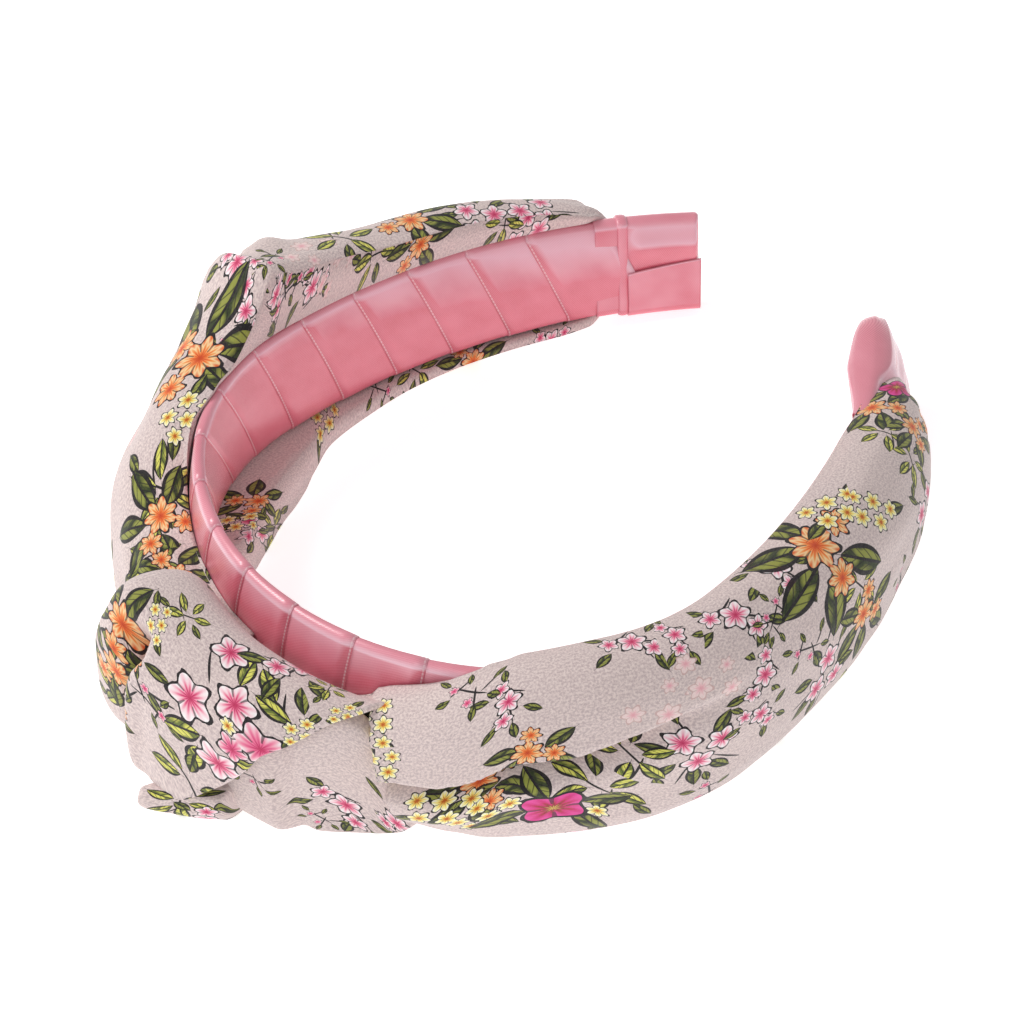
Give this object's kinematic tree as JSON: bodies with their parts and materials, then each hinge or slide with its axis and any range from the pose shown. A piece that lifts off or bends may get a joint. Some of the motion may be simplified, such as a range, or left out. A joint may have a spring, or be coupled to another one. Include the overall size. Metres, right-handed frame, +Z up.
{
  "type": "knotted headband",
  "caption": "Stiff U-shaped hairband wrapped in satin ribbon, with printed crepe sleeves along the arms tied in a broad flat knot at the crown.",
  "frame": {"origin": "centre of the footprint, at the table the headband lies on", "axes": "+Z up, across the band's width as it lies on its side; +Y from the crown towards the open ends of the arms; +X towards the right arm"},
  "size_m": [0.1656, 0.1862, 0.0513],
  "materials": {
    "core_plastic": "moulded, smooth",
    "satin_ribbon": "rose pink satin with a soft sheen",
    "floral_crepe": "mauve-beige crepe printed with small bouquets",
    "hot_glue": "clear-yellow hot glue"
  },
  "bodies": {
    "root": {"band_core": "core_plastic", "ribbon_spiral": "satin_ribbon", "left_tip_ribbon": "satin_ribbon", "right_tip_ribbon": "satin_ribbon", "left_sleeve": "floral_crepe", "right_sleeve": "floral_crepe", "left_sleeve_glue": "hot_glue", "right_sleeve_glue": "hot_glue", "knot_wrap": "floral_crepe", "knot_lower_fold": "floral_crepe", "knot_tail": "floral_crepe", "knot_glue": "hot_glue"}
  },
  "joints": []
}
